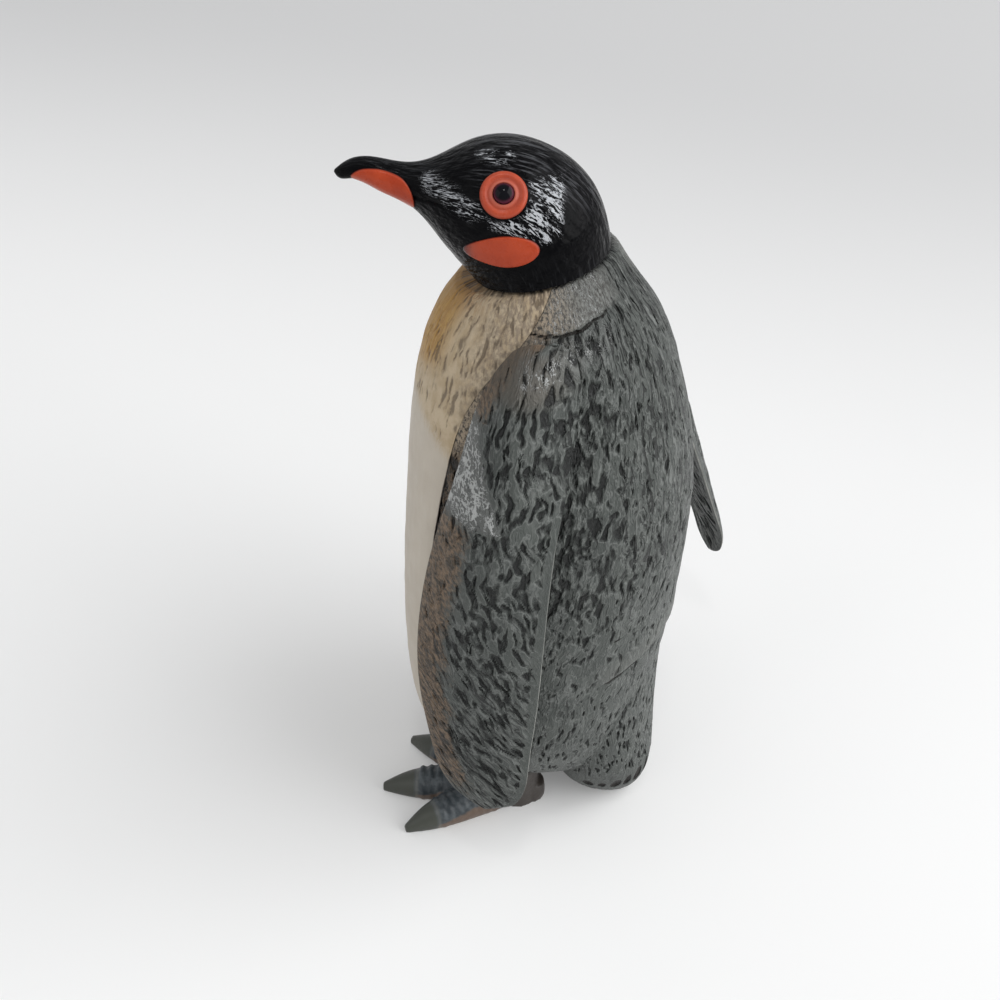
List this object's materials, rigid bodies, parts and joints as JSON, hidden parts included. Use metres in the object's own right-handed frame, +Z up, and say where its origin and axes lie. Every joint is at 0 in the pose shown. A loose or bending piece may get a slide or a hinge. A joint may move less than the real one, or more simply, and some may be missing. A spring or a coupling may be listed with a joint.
{
  "type": "penguin figurine",
  "caption": "Palm-size standing penguin figurine in painted soft plastic, with a turning head, two swinging flippers, a plugged-in tail and separate feet.",
  "frame": {"origin": "on the floor, in the figure's middle plane, on the tail's flat end", "axes": "+X to the figure's left, -Y the way its body faces, +Z up"},
  "size_m": [0.0542, 0.0359, 0.0796],
  "materials": {
    "breast_paint": "matte paint, tan at the throat fading to warm white",
    "mantle_paint": "satin grey-green paint in feather grooves",
    "foot_paint": "satin dark grey with olive claws",
    "hood_gloss": "gloss black with silver dry brushing",
    "orange_gloss": "gloss orange-red",
    "pupil_gloss": "gloss black"
  },
  "bodies": {
    "torso": {"breast_half": "breast_paint", "back_half": "mantle_paint", "tail": "mantle_paint", "left_foot": "foot_paint", "right_foot": "foot_paint"},
    "head_unit": {"head": "hood_gloss", "left_bill_plate": "orange_gloss", "right_bill_plate": "orange_gloss", "left_cheek_patch": "orange_gloss", "right_cheek_patch": "orange_gloss", "left_eye_ring": "orange_gloss", "right_eye_ring": "orange_gloss", "left_pupil": "pupil_gloss", "right_pupil": "pupil_gloss"},
    "left_wing": {"left_flipper": "mantle_paint"},
    "right_wing": {"right_flipper": "mantle_paint"}
  },
  "joints": [
    {"name": "head_turn", "type": "hinge", "parent": "torso", "child": "head_unit", "pos_m": [0, -0.013, 0.0683], "axis": [0, -0.2639, 0.9646], "range_deg": [-100, 65]},
    {"name": "left_flipper_swing", "type": "hinge", "parent": "torso", "child": "left_wing", "pos_m": [0.0135, -0.0098, 0.057], "axis": [1, 0, 0], "range_deg": [-12, 30]},
    {"name": "right_flipper_swing", "type": "hinge", "parent": "torso", "child": "right_wing", "pos_m": [-0.0135, -0.0098, 0.057], "axis": [1, 0, 0], "range_deg": [-28, 14]}
  ]
}
